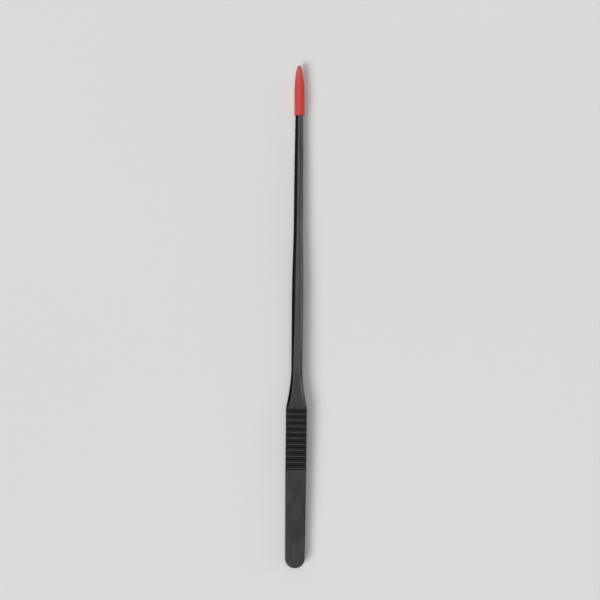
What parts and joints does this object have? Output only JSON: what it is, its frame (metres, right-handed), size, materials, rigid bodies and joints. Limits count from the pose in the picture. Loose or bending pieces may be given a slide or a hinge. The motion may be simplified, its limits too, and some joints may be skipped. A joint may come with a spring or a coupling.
{
  "type": "aquascaping tweezers",
  "caption": "Long straight black steel tweezers for planting aquariums: ribbed flat grip, slim bevelled shafts, fine jaws held shut by a soft red tip cap.",
  "frame": {"origin": "under the middle of the closed tweezers' overall box, on the surface that they lie on", "axes": "+Y from the welded tail to the tips, +Z the way the arms open, towards the front arm, +X across the width"},
  "size_m": [0.0112, 0.2714, 0.009],
  "materials": {
    "black_steel": "satin black carbonised coating",
    "weld_steel": "fused, unfinished",
    "red_vinyl": "soft satin"
  },
  "bodies": {
    "rear_arm": {"rear_grip": "black_steel", "rear_shaft": "black_steel"},
    "heel": {"front_heel": "black_steel", "rear_heel": "black_steel", "heel_welds": "weld_steel"},
    "front_arm": {"front_grip": "black_steel", "front_shaft": "black_steel"},
    "tip_cap": {"tip_cap": "red_vinyl"}
  },
  "joints": [
    {"name": "rear_flex", "type": "hinge", "parent": "rear_arm", "child": "heel", "pos_m": [0, -0.10275, 0.00313], "axis": [1, 0, 0], "range_deg": [0, 2.3]},
    {"name": "front_flex", "type": "hinge", "parent": "heel", "child": "front_arm", "pos_m": [0, -0.10275, 0.00588], "axis": [1, 0, 0], "range_deg": [0, 2.3]},
    {"name": "tip_cap_slide", "type": "slide", "parent": "heel", "child": "tip_cap", "axis": [0, 1, 0], "range_m": [0, 0.17]}
  ],
  "couplings": [
    {"joint": "rear_flex", "follows": "tip_cap_slide", "rad_per_m": 0.235},
    {"joint": "front_flex", "follows": "tip_cap_slide", "rad_per_m": 0.235}
  ]
}
